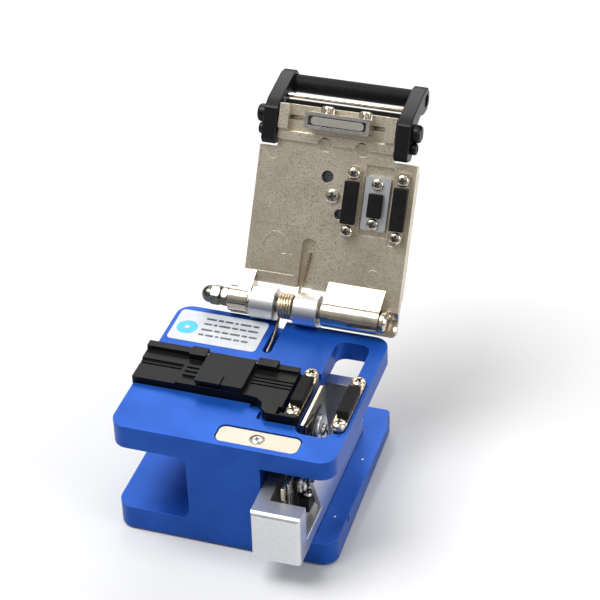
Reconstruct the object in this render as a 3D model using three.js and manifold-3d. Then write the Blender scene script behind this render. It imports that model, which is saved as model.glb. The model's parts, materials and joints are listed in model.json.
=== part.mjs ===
// Optical fibre cleaver: C-shaped body, sliding blade carriage, sprung lid with clamp pads and handle.
// Millimetres, +X along the fibre, +Y towards the lid hinge, +Z up.
// The origin is the centre of the underside of the rubber sole.
import * as THREE from "three";
import { mergeVertices } from "three/addons/utils/BufferGeometryUtils.js";
import Module from "manifold-3d";

const wasm = await Module();
wasm.setup();

// ---------------------------------------------------------------- driving dimensions
const gap = 0.3; // air left between pieces that are fitted together
const bodyWidth = 63;
const bodyDepth = 56.6;
const bodyCorner = 4.5;
const soleHeight = 0.6;
const baseTop = 8.0;
const deckTop = 36.6;
const deckUnderLeft = 29.2;
const deckUnderRight = 30.6;
const columnLeft = -9.8;
const columnRight = 11.2;
const baseDepth = 60; // the base reaches past the deck at the back
const baseRightRear = 30.2; // the base's right edge leans in towards the back

const hingeDepth = 57.6; // hinge axis, from the body's front face
const hingeHeight = deckTop + 4.65;
const bossRadius = 4.65;
const barrelRadius = 3.75;
const boltRadius = 2.0;
const boltHole = 2.12;
const lidOpenAngle = 119.1; // degrees between the closed lid and the open one

const padTop = 3.0; // top of the lower clamp pads, above the deck
const lidFace = 2.25; // inner face of the lid above the hinge axis, with the lid closed
const lidThickness = 2.4;
const lidLeft = -14.1;
const lidRight = 32.2;
const lidReach = 57; // front edge of the lid, from the hinge axis
const lidTail = 4.3; // what reaches behind the hinge axis and stops the lid

const sliderLeft = 11.5;
const sliderRight = 25.2;
const sliderFront = -10;
const sliderRear = 50;
const sliderBottom = baseTop + gap;
const sliderFrontTop = 24.1;

const bladeX = 21.9;
const bladeDepth = 17.8;
const bladeRadius = 7.5;
const bladeHeight = deckTop + 3.1 - bladeRadius;
const guardX = 18.7;

const leftPadX = 15.1;
const rightPadX = 28.6;
const padWidth = 3.4;

const halfWidth = bodyWidth / 2;
const fromFront = (depth) => depth - bodyDepth / 2;
const hingeY = fromFront(hingeDepth);

// ---------------------------------------------------------------- materials
const finish = (color, roughness, metalness) => new THREE.MeshStandardMaterial({ color, roughness, metalness });
const blueAnodised = () => finish(0x2457c8, 0.42, 0.3);
const nickel = () => finish(0xb5aa98, 0.35, 0.9);
const brightNickel = () => finish(0xd8d3c8, 0.15, 1.0);
const satinAluminium = () => finish(0xc9cbd0, 0.4, 0.9);
const steel = () => finish(0xa9a9aa, 0.3, 1.0);
const darkSteel = () => finish(0x4b4b4e, 0.35, 0.9);
const blackPlastic = () => finish(0x17181a, 0.5, 0.0);
const blackRubber = () => finish(0x101113, 0.8, 0.0);

// ---------------------------------------------------------------- solids
function solidOf(geometry) {
  const bare = geometry.index ? geometry.toNonIndexed() : geometry;
  bare.deleteAttribute("normal");
  bare.deleteAttribute("uv");
  const merged = mergeVertices(bare, 1e-4);
  const mesh = new wasm.Mesh({
    numProp: 3,
    vertProperties: Float32Array.from(merged.attributes.position.array),
    triVerts: Uint32Array.from(merged.index.array),
  });
  return new wasm.Manifold(mesh);
}

function geometryOf(solid) {
  const mesh = solid.getMesh();
  const geometry = new THREE.BufferGeometry();
  geometry.setAttribute("position", new THREE.BufferAttribute(Float32Array.from(mesh.vertProperties), 3));
  geometry.setIndex(new THREE.BufferAttribute(Uint32Array.from(mesh.triVerts), 1));
  geometry.computeVertexNormals();
  return geometry;
}

const union = (first, ...others) => others.reduce((sum, next) => sum.add(next), first);
const cut = (first, ...others) => others.reduce((rest, next) => rest.subtract(next), first);

function box(x0, x1, y0, y1, z0, z1) {
  const geometry = new THREE.BoxGeometry(x1 - x0, y1 - y0, z1 - z0);
  return solidOf(geometry.translate((x0 + x1) / 2, (y0 + y1) / 2, (z0 + z1) / 2));
}

// An outline drawn as (x, y) and raised from z0 to z1.
function slab(shape, z0, z1, curveSegments = 6) {
  const geometry = new THREE.ExtrudeGeometry(shape, { depth: z1 - z0, bevelEnabled: false, curveSegments });
  return solidOf(geometry.translate(0, 0, z0));
}

// An outline drawn as (x, z) and drawn out from y0 to y1.
function profileAlongY(shape, y0, y1, curveSegments = 6) {
  const geometry = new THREE.ExtrudeGeometry(shape, { depth: y1 - y0, bevelEnabled: false, curveSegments });
  return solidOf(geometry.rotateX(Math.PI / 2).translate(0, y1, 0));
}

// An outline drawn as (y, z) and drawn out from x0 to x1.
function profileAlongX(shape, x0, x1, curveSegments = 6) {
  const geometry = new THREE.ExtrudeGeometry(shape, { depth: x1 - x0, bevelEnabled: false, curveSegments });
  const turn = new THREE.Matrix4().makeBasis(
    new THREE.Vector3(0, 1, 0),
    new THREE.Vector3(0, 0, 1),
    new THREE.Vector3(1, 0, 0),
  );
  return solidOf(geometry.applyMatrix4(turn).translate(x0, 0, 0));
}

function rodX(y, z, x0, x1, radius, segments = 24) {
  const geometry = new THREE.CylinderGeometry(radius, radius, x1 - x0, segments);
  return solidOf(geometry.rotateZ(Math.PI / 2).translate((x0 + x1) / 2, y, z));
}

function rodY(x, z, y0, y1, radius, segments = 16) {
  const geometry = new THREE.CylinderGeometry(radius, radius, y1 - y0, segments);
  return solidOf(geometry.translate(x, (y0 + y1) / 2, z));
}

function rodZ(x, y, z0, z1, radius, segments = 16) {
  const geometry = new THREE.CylinderGeometry(radius, radius, z1 - z0, segments);
  return solidOf(geometry.rotateX(Math.PI / 2).translate(x, y, (z0 + z1) / 2));
}

// A profile of [radius, height] points from the bottom of the axis to its top, turned about +Z.
function turned(points, segments = 16) {
  const geometry = new THREE.LatheGeometry(points.map(([r, h]) => new THREE.Vector2(r, h)), segments);
  return geometry.rotateX(Math.PI / 2);
}

// A pan-head screw with its head's seat at the origin, head towards +Z.
function panScrew(headRadius, headHeight, shankRadius, shankLength) {
  return turned([
    [0, -shankLength],
    [shankRadius, -shankLength],
    [shankRadius, 0],
    [headRadius, 0],
    [headRadius, headHeight * 0.45],
    [headRadius * 0.62, headHeight * 0.92],
    [0, headHeight],
  ], 12);
}

const facing = {
  up: (geometry) => geometry,
  down: (geometry) => geometry.rotateX(Math.PI),
  right: (geometry) => geometry.rotateY(Math.PI / 2),
  left: (geometry) => geometry.rotateY(-Math.PI / 2),
  front: (geometry) => geometry.rotateX(Math.PI / 2),
};

function placed(geometry, direction, x, y, z) {
  return solidOf(facing[direction](geometry).translate(x, y, z));
}

// ---------------------------------------------------------------- outlines
function polygon(points) {
  return new THREE.Shape(points.map(([a, b]) => new THREE.Vector2(a, b)));
}

// A rectangle whose four corners are arcs.
function roundedRectangle(x0, x1, y0, y1, radius) {
  const shape = new THREE.Shape();
  shape.moveTo(x0 + radius, y0);
  shape.lineTo(x1 - radius, y0);
  shape.absarc(x1 - radius, y0 + radius, radius, -Math.PI / 2, 0, false);
  shape.absarc(x1 - radius, y1 - radius, radius, 0, Math.PI / 2, false);
  shape.absarc(x0 + radius, y1 - radius, radius, Math.PI / 2, Math.PI, false);
  shape.absarc(x0 + radius, y0 + radius, radius, Math.PI, 1.5 * Math.PI, false);
  return shape;
}

const roundedBox = (x0, x1, y0, y1, z0, z1, radius) => slab(roundedRectangle(x0, x1, y0, y1, radius), z0, z1);

// The hull-like outline of two equal circles: a slot with round ends.
const slotAlongY = (x, y0, y1, radius) => roundedRectangle(x - radius, x + radius, y0 - radius, y1 + radius, radius);

// ---------------------------------------------------------------- the scene graph
const assembly = new THREE.Group();
const lidGroup = new THREE.Group();
lidGroup.position.set(0, hingeY, hingeHeight);
lidGroup.rotation.x = THREE.MathUtils.degToRad(-lidOpenAngle);
assembly.add(lidGroup);

function piece(name, solid, material, parent = assembly) {
  const mesh = new THREE.Mesh(geometryOf(solid), material);
  mesh.name = name;
  parent.add(mesh);
}

// ---------------------------------------------------------------- body and sole
function bodyProfile() {
  const fillet = 2;
  const shape = new THREE.Shape();
  shape.moveTo(-halfWidth, soleHeight);
  shape.lineTo(halfWidth, soleHeight);
  shape.lineTo(halfWidth, baseTop);
  shape.lineTo(columnRight, baseTop);
  shape.lineTo(columnRight, deckUnderRight);
  shape.lineTo(halfWidth, deckUnderRight);
  shape.lineTo(halfWidth, deckTop);
  shape.lineTo(-halfWidth, deckTop);
  shape.lineTo(-halfWidth, deckUnderLeft);
  shape.lineTo(columnLeft - fillet, deckUnderLeft);
  shape.absarc(columnLeft - fillet, deckUnderLeft - fillet, fillet, Math.PI / 2, 0, true);
  shape.absarc(columnLeft - fillet, baseTop + fillet, fillet, 0, -Math.PI / 2, true);
  shape.lineTo(-halfWidth, baseTop);
  return shape;
}

const carrierDepth = 2.0; // how deep the clamp carriers sit in the deck
const catchRecess = 1.4;
const adapterRecess = 1.0;
const slotLeft = 17.2;
const slotRight = 27.2;

// The base's outline from above: round front corners, nearly square rear ones.
function baseOutline() {
  const front = -bodyDepth / 2;
  const rear = fromFront(baseDepth);
  const ease = 0.8;
  const shape = new THREE.Shape();
  shape.moveTo(-halfWidth + bodyCorner, front);
  shape.lineTo(halfWidth - bodyCorner, front);
  shape.absarc(halfWidth - bodyCorner, front + bodyCorner, bodyCorner, -Math.PI / 2, 0, false);
  shape.lineTo(baseRightRear, rear - ease);
  shape.lineTo(baseRightRear - ease, rear);
  shape.lineTo(-halfWidth + ease, rear);
  shape.lineTo(-halfWidth, rear - ease);
  shape.lineTo(-halfWidth, front + bodyCorner);
  shape.absarc(-halfWidth + bodyCorner, front + bodyCorner, bodyCorner, Math.PI, 1.5 * Math.PI, false);
  return shape;
}

function buildBody() {
  const half = bodyDepth / 2;
  const profile = profileAlongY(bodyProfile(), -half, half);
  const plan = union(
    roundedBox(-halfWidth, halfWidth, -half, half, baseTop - 0.1, deckTop + 1, bodyCorner),
    slab(baseOutline(), 0, baseTop),
  );
  const base = slab(baseOutline(), soleHeight, baseTop);
  const over = deckTop + 1;
  const bladeSlot = roundedBox(slotLeft, slotRight, fromFront(10), fromFront(52), 28, over, 3);
  const leftPocket = roundedBox(12.6, 18.2, fromFront(14.6), fromFront(36.6), deckTop - carrierDepth, over, 2.4);
  const rightPocket = roundedBox(26.2, 30.7, fromFront(12.6), fromFront(36.6), deckTop - carrierDepth, over, 2.2);
  const catchPocket = roundedBox(-2.4, 21.1, fromFront(1.7), fromFront(8.6), deckTop - catchRecess, over, 2.2);
  const adapterPocket = box(-halfWidth - 1, 13, fromFront(18.6), fromFront(34.4), deckTop - adapterRecess, over);
  const adapterNose = roundedBox(6.0, 17.8, fromFront(12.7), fromFront(20), deckTop - adapterRecess, over, 1.0);
  const rearRelief = rodZ(7.1, fromFront(35), deckTop - adapterRecess, over, 1.9);
  const frontRelief = rodZ(4.6, fromFront(18.4), deckTop - adapterRecess, over, 2.0);
  const springSlot = slab(slotAlongY(-0.7, fromFront(42.5), fromFront(60), 1.3), deckTop - 2.6, over);
  const sidePort = rodX(fromFront(13.8), baseTop - 1.9, halfWidth - 4, halfWidth + 1, 0.9, 12);
  const solid = cut(
    union(profile.intersect(plan), base),
    bladeSlot,
    leftPocket,
    rightPocket,
    catchPocket,
    adapterPocket,
    adapterNose,
    rearRelief,
    frontRelief,
    springSlot,
    sidePort,
    rodZ(9.0, fromFront(5.2), deckTop - 5, over, 1.0, 12),
    rodZ(leftPadX, fromFront(17.2), deckTop - 5, over, 0.8, 12),
    rodZ(leftPadX, fromFront(33.9), deckTop - 5, over, 0.8, 12),
    rodZ(rightPadX, fromFront(15.3), deckTop - 5, over, 0.8, 12),
    rodZ(rightPadX, fromFront(33.9), deckTop - 5, over, 0.8, 12),
  );
  piece("body_frame", solid, blueAnodised());
}

function buildSole() {
  const inset = 2.5;
  const x = halfWidth - inset;
  const y = bodyDepth / 2 - inset;
  piece("rubber_sole", roundedBox(-x, x, -y, y, 0, soleHeight, 3), blackRubber());
}

// ---------------------------------------------------------------- fittings on the deck
function buildDeckFittings() {
  const top = deckTop - 0.35;
  const catchPlate = cut(
    roundedBox(-2.1, 20.8, fromFront(2.0), fromFront(8.3), deckTop - catchRecess, top, 2),
    rodZ(9.0, fromFront(5.2), deckTop - 3, top + 1, 1.1, 12),
    rodZ(9.0, fromFront(5.2), top - 0.5, top + 1, 2.0, 12),
  );
  piece("catch_plate", catchPlate, finish(0xe9dcc0, 0.3, 0.7));
  const seat = top - 0.45;
  piece("catch_plate_screw", placed(panScrew(1.6, 0.6, 0.7, 2.5), "up", 9.0, fromFront(5.2), seat), steel());
  const label = roundedBox(-30.2, -3.7, fromFront(40.3), fromFront(54.4), deckTop, deckTop + 0.12, 1.4);
  piece("notice_label", label, finish(0xf2f2f2, 0.5, 0.0));
}

function buildLowerClamp(side, x, y0, y1, padY0, padY1) {
  const seat = deckTop + 0.9;
  const half = padWidth / 2;
  const screws = [y0 + 2.2, y1 - 2.2];
  const carrier = cut(
    roundedBox(x - half - 0.25, x + half + 0.25, y0, y1, deckTop - carrierDepth, seat, 1.9),
    ...screws.map((y) => rodZ(x, y, deckTop - 3, seat + 1, 0.9, 12)),
  );
  piece(`lower_clamp_carrier_${side}`, carrier, brightNickel());
  const pad = box(x - half, x + half, padY0, padY1, seat, deckTop + padTop);
  piece(`lower_clamp_pad_${side}`, pad, blackRubber());
  const ends = ["front", "rear"];
  screws.forEach((y, i) => {
    const screw = placed(panScrew(1.95, 1.35, 0.7, 4), "up", x, y, seat);
    piece(`lower_clamp_screw_${side}_${ends[i]}`, screw, finish(0xcdb796, 0.25, 1.0));
  });
}

function buildLowerClamps() {
  buildLowerClamp("left", leftPadX, fromFront(15.0), fromFront(36.1), fromFront(19.9), fromFront(31.1));
  buildLowerClamp("right", rightPadX, fromFront(13.1), fromFront(36.1), fromFront(18.6), fromFront(30.4));
}

// ---------------------------------------------------------------- fibre adapter and its leaf
const leafPinDepth = 31.6;
const leafPinHeight = deckTop + 3.5;

function adapterOutline() {
  const outline = [
    [-31.9, 19.0],
    [2.0, 19.0],
    [4.6, 18.6],
    [6.4, 17.2],
    [7.2, 14.6],
    [8.8, 13.2],
    [17.0, 13.2],
    [17.4, 14.3],
    [12.3, 14.5],
    [12.3, 33.3],
    [-31.9, 33.3],
  ];
  return polygon(outline.map(([x, depth]) => [x, fromFront(depth)]));
}

function buildAdapter() {
  const bottom = deckTop - adapterRecess;
  const top = deckTop + 2.5;
  const grooves = [24.2, 25.6, 27.0].map((depth) =>
    box(0.6, 12.5, fromFront(depth) - 0.3, fromFront(depth) + 0.3, top - 0.5, top + 1));
  const ribs = [22.6, 24.4, 26.2].map((depth) =>
    box(-18.2, -14.0, fromFront(depth) - 0.5, fromFront(depth) + 0.5, top - 0.1, top + 0.7));
  const solid = cut(
    union(
      slab(adapterOutline(), bottom, top),
      box(-31.9, -19.0, fromFront(30.9), fromFront(33.3), top - 0.1, top + 1.4),
      box(-19.0, -14.1, fromFront(29.6), fromFront(33.3), top - 0.1, top + 2.0),
      box(0.5, 6.3, fromFront(30.2), fromFront(33.3), top - 0.1, top + 2.0),
      box(6.3, 12.3, fromFront(31.2), fromFront(33.3), top - 0.1, top + 0.8),
      ...ribs,
    ),
    box(-32.5, -19.4, fromFront(18), fromFront(27.0), top - 0.6, top + 0.01),
    box(-32.5, -19.4, fromFront(25.2), fromFront(25.8), top - 1.2, top + 0.01),
    box(-13.9, 0.2, fromFront(27), fromFront(34), top - 0.35, top + 0.01),
    rodX(fromFront(leafPinDepth), leafPinHeight, -17, 4, 0.62, 12),
    box(11.4, 12.5, fromFront(13.5), fromFront(16.6), bottom - 1, top + 1),
    ...grooves,
  );
  piece("fibre_adapter", solid, blackPlastic());
  const pin = rodX(fromFront(leafPinDepth), leafPinHeight, -16.8, 3.8, 0.5, 12);
  piece("leaf_hinge_pin", pin, steel());
}

function buildLeaf() {
  const floor = deckTop + 2.8;
  const top = deckTop + 4.4;
  const y = fromFront(leafPinDepth);
  const plate = roundedBox(-13.7, 0.1, fromFront(19.0), y, floor, top, 0.5);
  const knuckle = rodX(y, leafPinHeight, -13.7, 0.1, 0.95, 16);
  const solid = cut(
    union(plate, knuckle),
    rodX(y, leafPinHeight, -15, 1, 0.6, 12),
    box(-6.3, -6.0, fromFront(18), fromFront(22.6), floor - 1, top + 1),
    box(-13.8, -6.2, fromFront(18), fromFront(20.2), floor - 1, floor + 0.6),
  );
  piece("adapter_leaf", solid, blackPlastic());
}

// ---------------------------------------------------------------- slider with its blade
function sliderProfile() {
  const channel = 16;
  return polygon([
    [sliderLeft, sliderBottom],
    [15.4, sliderBottom],
    [15.4, 12.4],
    [21.8, 12.4],
    [21.8, sliderBottom],
    [sliderRight, sliderBottom],
    [sliderRight, 12.6],
    [22.4, 12.6],
    [22.4, 14.2],
    [channel, 14.2],
    [15.2, sliderFrontTop],
    [sliderLeft, sliderFrontTop],
  ]);
}

function buildSlider() {
  const front = fromFront(sliderFront);
  const rear = fromFront(sliderRear);
  const wallRear = fromFront(-4);
  const trough = profileAlongY(sliderProfile(), wallRear - 0.5, rear);
  const frontWall = box(sliderLeft, sliderRight, front, wallRear, sliderBottom, sliderFrontTop);
  const rise = 44; // depth of the rear block's upright face
  const sideWall = polygon([
    [fromFront(9.5), 12.5],
    [rear, 12.5],
    [rear, 26.6],
    [fromFront(3), 26.6],
    [fromFront(6.5), 18.5],
  ]);
  const rearBlock = polygon([
    [fromFront(28), 12.5],
    [rear, 12.5],
    [rear, 25.6],
    [rear - 2, 27.6],
    [fromFront(rise), 27.6],
    [fromFront(rise), 19.6],
    [fromFront(28), 19.6],
  ]);
  const plan = roundedBox(sliderLeft, sliderRight, front, rear, 0, 40, 1.2);
  const edge = 1.5; // round on the front top edge
  const sideOutline = new THREE.Shape();
  sideOutline.moveTo(front, 0);
  sideOutline.lineTo(rear, 0);
  sideOutline.lineTo(rear, 40);
  sideOutline.lineTo(wallRear, 40);
  sideOutline.lineTo(wallRear, sliderFrontTop);
  sideOutline.lineTo(front + edge, sliderFrontTop);
  sideOutline.absarc(front + edge, sliderFrontTop - edge, edge, Math.PI / 2, Math.PI, false);
  const solid = union(
    trough,
    frontWall,
    profileAlongX(sideWall, sliderRight - 1.3, sliderRight),
    profileAlongX(rearBlock, 14, sliderRight),
  ).intersect(plan).intersect(profileAlongX(sideOutline, 0, 40));
  piece("slider_block", cut(solid, box(15.7, 21.5, wallRear, rear + 1, 0, 12.41)), satinAluminium());
}

function buildRail() {
  piece("linear_rail", box(16.6, 20.6, fromFront(19.5), fromFront(55.4), baseTop, baseTop + 2.4), steel());
  const carriage = cut(
    box(15.7 + gap, 21.5 - gap, fromFront(20), fromFront(37), baseTop + 0.5, 12.4),
    box(16.6 - 0.2, 20.6 + 0.2, fromFront(19), fromFront(38), 0, baseTop + 2.6),
  );
  piece("rail_carriage", carriage, darkSteel());
}

const pivotY = fromFront(5.0);
const pivotHeight = 24.2;

function buildBladeGuards() {
  const floor = 14.2;
  const tall = deckTop - 0.3;
  const low = 28.4;
  const outline = new THREE.Shape();
  outline.moveTo(fromFront(-3.6), floor);
  outline.lineTo(fromFront(27.6), floor);
  outline.lineTo(fromFront(27.6), 19.9);
  outline.lineTo(fromFront(33.6), 19.9);
  outline.lineTo(fromFront(33.6), tall - 2.4);
  outline.absarc(fromFront(33.6) - 2.4, tall - 2.4, 2.4, 0, Math.PI / 2, false);
  outline.lineTo(fromFront(14), tall);
  outline.lineTo(fromFront(11.5), low);
  outline.lineTo(fromFront(-3.6), low);
  piece("guard_plate", profileAlongX(outline, guardX - 0.45, guardX + 0.45), brightNickel());
  const inner = polygon([
    [fromFront(-1.6), floor],
    [fromFront(24), floor],
    [fromFront(24), 33],
    [fromFront(15), tall - 1],
    [fromFront(11.5), low],
    [fromFront(-1.6), low],
  ]);
  const plate = cut(
    profileAlongX(inner, guardX + 0.65, guardX + 1.15),
    rodX(pivotY, pivotHeight, guardX, guardX + 2, 1.15, 16),
  );
  piece("blade_plate", plate, steel());
}

function buildBladeLever() {
  const x0 = guardX + 1.35;
  const x1 = x0 + 0.6;
  const bar = polygon([
    [fromFront(2.4), 15.4],
    [fromFront(8.6), 15.4],
    [fromFront(22.6), 26],
    [fromFront(22.6), 33],
    [fromFront(14), 33],
    [fromFront(8.8), 27],
    [fromFront(2.4), 27],
  ]);
  const footRight = 23.6;
  const footTop = 19.6;
  const screwX = 22.3;
  const screwY = fromFront(5.9);
  const y = fromFront(bladeDepth);
  const lever = cut(
    union(
      profileAlongX(bar, x0, x1),
      box(x0, footRight, fromFront(3.4), fromFront(8.4), 15.4, footTop),
      rodX(y, bladeHeight, x1 - 0.1, bladeX - 0.4, 2.6, 20),
    ),
    rodX(y, bladeHeight, x0 - 1, bladeX, 1.1, 16),
    rodX(pivotY, pivotHeight, x0 - 1, x1 + 1, 1.15, 16),
    rodZ(screwX, screwY, 14, 21, 0.95, 12),
  );
  piece("blade_lever", lever, blackPlastic());
  piece("height_screw", placed(panScrew(1.45, 1.3, 0.8, 4.2), "up", screwX, screwY, footTop), steel());
  const pivot = turned([
    [0, -1.6],
    [1.0, -1.6],
    [1.0, 0],
    [2.7, 0],
    [2.7, 0.9],
    [2.1, 0.9],
    [2.1, 1.8],
    [1.3, 2.3],
    [0, 2.3],
  ]);
  piece("lever_pivot_screw", placed(pivot, "right", x1 + 0.1, pivotY, pivotHeight), steel());
}

function buildBlade() {
  const y = fromFront(bladeDepth);
  const thin = 0.35;
  const wheel = cut(
    solidOf(facing.right(turned([
      [0, -thin],
      [bladeRadius - 0.6, -thin],
      [bladeRadius, 0],
      [bladeRadius - 0.6, thin],
      [0, thin],
    ], 36)).translate(bladeX, y, bladeHeight)),
    rodX(y, bladeHeight, bladeX - 2, bladeX + 2, 1.7, 16),
  );
  piece("blade_wheel", wheel, darkSteel());
  const hub = cut(
    union(
      rodX(y, bladeHeight, bladeX + thin, bladeX + 1.35, 4.6, 24),
      rodX(y, bladeHeight, bladeX - thin, bladeX + thin, 1.6, 16),
    ),
    rodX(y, bladeHeight, bladeX - 2, bladeX + 2, 0.95, 12),
  );
  piece("blade_hub", hub, satinAluminium());
  const seat = bladeX + 1.35;
  const screw = placed(panScrew(2.1, 1.3, 0.85, 3.0), "right", seat, y, bladeHeight);
  piece("blade_clamp_screw", screw, steel());
}

// ---------------------------------------------------------------- hinge
function buildHinge() {
  const half = bodyDepth / 2;
  const backFace = half + 0.05;
  const bosses = [["left", -9.7, -2.7], ["right", 3.2, 10.1]];
  bosses.forEach(([side, x0, x1]) => {
    const bracket = cut(
      union(
        rodX(hingeY, hingeHeight, x0, x1, bossRadius, 32),
        box(x0 + 0.3, x1 - 0.3, backFace, half + 3.6, deckTop - 5.6, hingeHeight - 1),
      ),
      rodX(hingeY, hingeHeight, x0 - 1, x1 + 1, boltHole, 24),
      box(x0 - 1, x1 + 1, -half, backFace, 0, deckTop + 0.02),
    );
    piece(`hinge_boss_${side}`, bracket, satinAluminium());
  });
  const head = 28.3;
  const bolt = union(
    rodX(hingeY, hingeHeight, -22.2, head, boltRadius, 24),
    solidOf(facing.right(turned([[0, 0], [3.2, 0], [3.2, 1.3], [2.5, 1.9], [0, 1.9]], 24))
      .translate(head, hingeY, hingeHeight)),
  );
  piece("hinge_bolt", bolt, brightNickel());
  const lockNut = cut(rodX(hingeY, hingeHeight, -18.9, -16.9, 2.95, 6), rodX(hingeY, hingeHeight, -20, -16, boltHole));
  piece("hinge_lock_nut", lockNut, steel());
  const dome = [[0, 0], [2.55, 0]];
  for (let step = 0; step <= 4; step += 1) {
    const angle = (step / 4) * (Math.PI / 2);
    dome.push([Math.max(2.5 * Math.cos(angle), 0), 2.1 + 2.5 * Math.sin(angle)]);
  }
  dome[dome.length - 1][0] = 0;
  const cap = cut(
    union(
      rodX(hingeY, hingeHeight, -22.1, -19.3, 3.1, 6),
      solidOf(facing.left(turned(dome, 20)).translate(-20.6, hingeY, hingeHeight)),
    ),
    rodX(hingeY, hingeHeight, -22.4, -18, boltHole),
  );
  piece("hinge_cap_nut", cap, steel());
}

// The spring's wire: one leg in the deck's slot, the coil round the bolt, one leg in the lid's slot.
const springRadius = 3.3;
const springTurns = 5;
const springPitch = 0.82;
const springStart = -1.8;
const springWire = 0.4;

function springPoints() {
  const lean = THREE.MathUtils.degToRad(lidOpenAngle - 90);
  const first = -Math.PI / 2;
  const last = springTurns * 2 * Math.PI - lean;
  const stepsPerTurn = 12;
  const count = Math.round(((last - first) / (2 * Math.PI)) * stepsPerTurn);
  const legHeight = deckTop - 1.0;
  const points = [
    new THREE.Vector3(-0.9, fromFront(42.6), legHeight),
    new THREE.Vector3(-1.1, fromFront(47.5), legHeight),
    new THREE.Vector3(-1.5, fromFront(53.0), legHeight + 0.9),
  ];
  for (let step = 0; step <= count; step += 1) {
    const turned = ((last - first) * step) / count;
    const angle = first + turned;
    points.push(new THREE.Vector3(
      springStart + (springPitch * turned) / (2 * Math.PI),
      hingeY + springRadius * Math.cos(angle),
      hingeHeight + springRadius * Math.sin(angle),
    ));
  }
  const end = points[points.length - 1];
  [[4, 0.1], [8, 0.7], [12, 1.3], [16, 1.8]].forEach(([s, aside]) => {
    points.push(new THREE.Vector3(end.x + aside, end.y + s * Math.sin(lean), end.z + s * Math.cos(lean)));
  });
  return points;
}

function buildSpring() {
  const points = springPoints();
  const section = new THREE.Shape();
  section.absarc(0, 0, springWire, 0, 2 * Math.PI, false);
  const geometry = new THREE.ExtrudeGeometry(section, {
    steps: points.length + 8,
    curveSegments: 4,
    bevelEnabled: false,
    extrudePath: new THREE.CatmullRomCurve3(points, false, "centripetal"),
  });
  piece("torsion_spring", solidOf(geometry), steel());
}

// ---------------------------------------------------------------- lid, drawn closed with the hinge axis at the origin
// s is the distance from the hinge axis along the lid, so y is -s, and the inner face looks to -Z.
const alongLid = (s) => -s;
const lidBox = (x0, x1, s0, s1, z0, z1) => box(x0, x1, alongLid(s1), alongLid(s0), z0, z1);
const lidRounded = (x0, x1, s0, s1, z0, z1, r) => roundedBox(x0, x1, alongLid(s1), alongLid(s0), z0, z1, r);
const lidRod = (x, s, z0, z1, radius, segments = 16) => rodZ(x, alongLid(s), z0, z1, radius, segments);

const trayLeft = -6.2;
const trayRight = 22.1;
const bandLeft = -9.0; // the raised band and all of the lid between the two handle arms
const bandRight = 25.1;
const bandFace = 1.25;
const blockFace = 0.2;
const armNotch = 44.6; // where the notches for the handle arms start

function buildLid() {
  const outer = lidFace + lidThickness;
  const plate = lidRounded(lidLeft, lidRight, -lidTail, lidReach, lidFace, outer, 1.2);
  const gusset = polygon([[0, -3.2], [0, 3], [-9.2, 3], [-8.6, 2.2], [-3.2, -2.1]]);
  const ribs = [lidLeft, lidRight - 1.6].map((x) => lidBox(x, x + 1.6, 6, armNotch - 2, outer - 0.1, outer + 1.6));
  const blank = union(
    plate,
    rodX(0, 0, -16.5, -10.8, barrelRadius, 28),
    rodX(0, 0, 11.2, 27.9, barrelRadius, 28),
    lidBox(-16.5, -10.4, -lidTail, 2, 1.0, outer),
    profileAlongX(gusset, -14.1, -10.4),
    profileAlongX(gusset, 11.2, 27.9),
    ...ribs,
    lidBox(lidLeft + 1, lidRight - 1, 12, 14, outer - 0.1, outer + 1.0),
    lidBox(lidLeft + 1, lidRight - 1, 40, 42, outer - 0.1, outer + 1.0),
    lidRounded(bandLeft, bandRight, 46.9, lidReach, bandFace, lidFace + 0.2, 0.8),
    lidBox(bandLeft, trayLeft, 50, lidReach, blockFace, bandFace + 0.1),
    lidBox(trayRight, bandRight, 50, lidReach, blockFace, bandFace + 0.1),
  );
  const fine = 12;
  const blindEnd = outer - 0.4;
  const solid = cut(
    blank,
    rodX(0, 0, -17, 28.5, boltHole, 24),
    rodX(0, 0, 27.9, lidRight + 1, 3.6, 24),
    lidBox(-10.4, 10.8, -lidTail - 1, 5.6, -5, outer + 3),
    lidBox(lidLeft - 1, bandLeft, armNotch, lidReach + 1, -1, outer + 1),
    lidBox(bandRight, lidRight + 1, armNotch, lidReach + 1, -1, outer + 1),
    lidBox(trayLeft, trayRight, 49.4, lidReach + 0.1, bandFace - 1.5, lidFace + 0.35),
    lidRounded(1.9, 6.2, 3, 19.9, lidFace - 1, lidFace + 1.7, 1.7),
    lidRounded(17.7, 26.0, 23.0, 43.1, lidFace - 1, lidFace + 1.0, 0.8),
    lidRounded(26.2, 31.6, 21.2, 43.5, lidFace - 1, lidFace + 0.4, 0.8),
    lidRod(6.8, 38.1, lidFace - 1, blindEnd, 1.75),
    lidRod(11.6, 28.0, lidFace - 1, blindEnd, 1.5),
    lidRod(9.1, 32.8, lidFace - 1, outer + 3, 1.05, fine),
    ...[5, 15.8].map((x) => lidRod(x, 46.9, lidFace - 2, lidFace + 0.9, 2.1)),
    ...clampScrewPlaces.map(([x, s]) => lidRod(x, s, lidFace - 2, outer - 0.5, 0.85, fine)),
    ...anvilScrewPlaces.map(([x, s]) => lidRod(x, s, lidFace - 2, outer + 1, 1.1, fine)),
    ...armScrewPlaces.map(([s, radius]) => rodX(alongLid(s), armScrewHeight, lidLeft, lidRight, radius + 0.15, fine)),
  );
  piece("lid", solid, nickel(), lidGroup);
}

const armScrewHeight = 3.4;
const armScrewPlaces = [[53.4, 0.9], [49.1, 0.6]]; // reach along the lid and shank radius
const clampScrewPlaces = [[14.8, 40.2], [14.7, 23.7], [29.0, 40.1], [28.9, 23.8]];
const anvilScrewPlaces = [[21.8, 38.0], [21.7, 26.6]];
const magnetScrewPlaces = [5.1, 16.1];
const holderFace = lidFace - 1.4;
const upperPadFace = padTop + gap - (hingeHeight - deckTop);

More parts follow.
